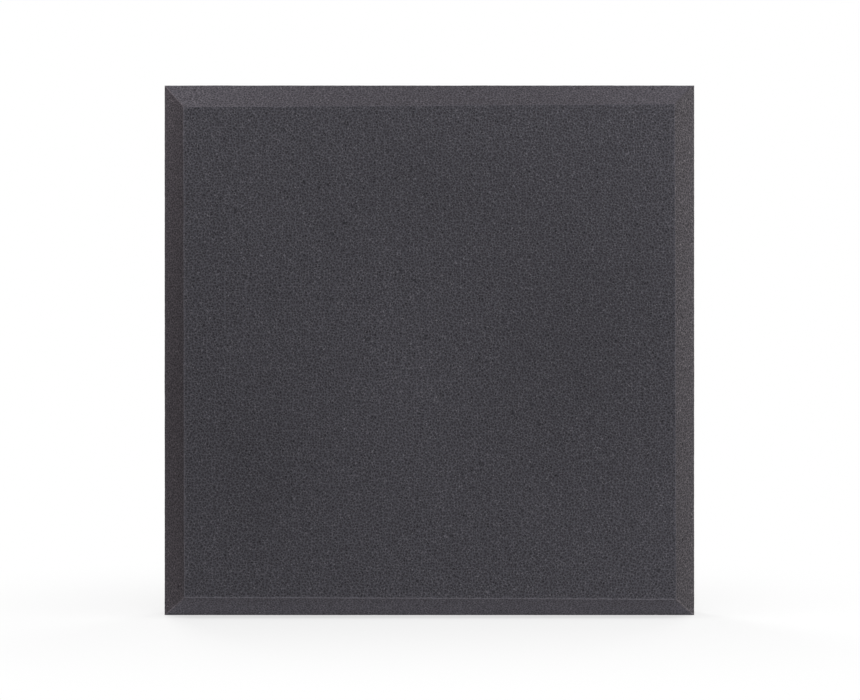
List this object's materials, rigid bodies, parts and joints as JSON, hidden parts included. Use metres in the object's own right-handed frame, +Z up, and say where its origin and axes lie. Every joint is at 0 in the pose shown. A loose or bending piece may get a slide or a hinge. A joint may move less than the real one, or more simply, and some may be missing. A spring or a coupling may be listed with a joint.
{
  "type": "acoustic foam panel",
  "caption": "Square, flat-faced acoustic foam tile with bevelled and mitred front edges, and self-adhesive mounting pads with pull-off liners on its back.",
  "frame": {"origin": "middle of the wall side of the panel, on the outer face of the middle pad's liner, where the panel meets the wall", "axes": "+X to the right as seen from the front, +Y from the panel into the wall, +Z up the panel as it hangs; the bevelled front looks along -Y"},
  "size_m": [0.6096, 0.0526, 0.6096],
  "materials": {
    "foam": "matt open-cell polyurethane foam",
    "tape": "closed-cell polyethylene foam tape",
    "liner_paper": "satin"
  },
  "bodies": {
    "root": {"foam_panel": "foam", "pad_middle": "tape", "pad_top_left": "tape", "pad_top_right": "tape", "pad_bottom_left": "tape", "pad_bottom_right": "tape", "liner_middle": "liner_paper", "liner_top_left": "liner_paper", "liner_top_right": "liner_paper", "liner_bottom_left": "liner_paper", "liner_bottom_right": "liner_paper"}
  },
  "joints": []
}
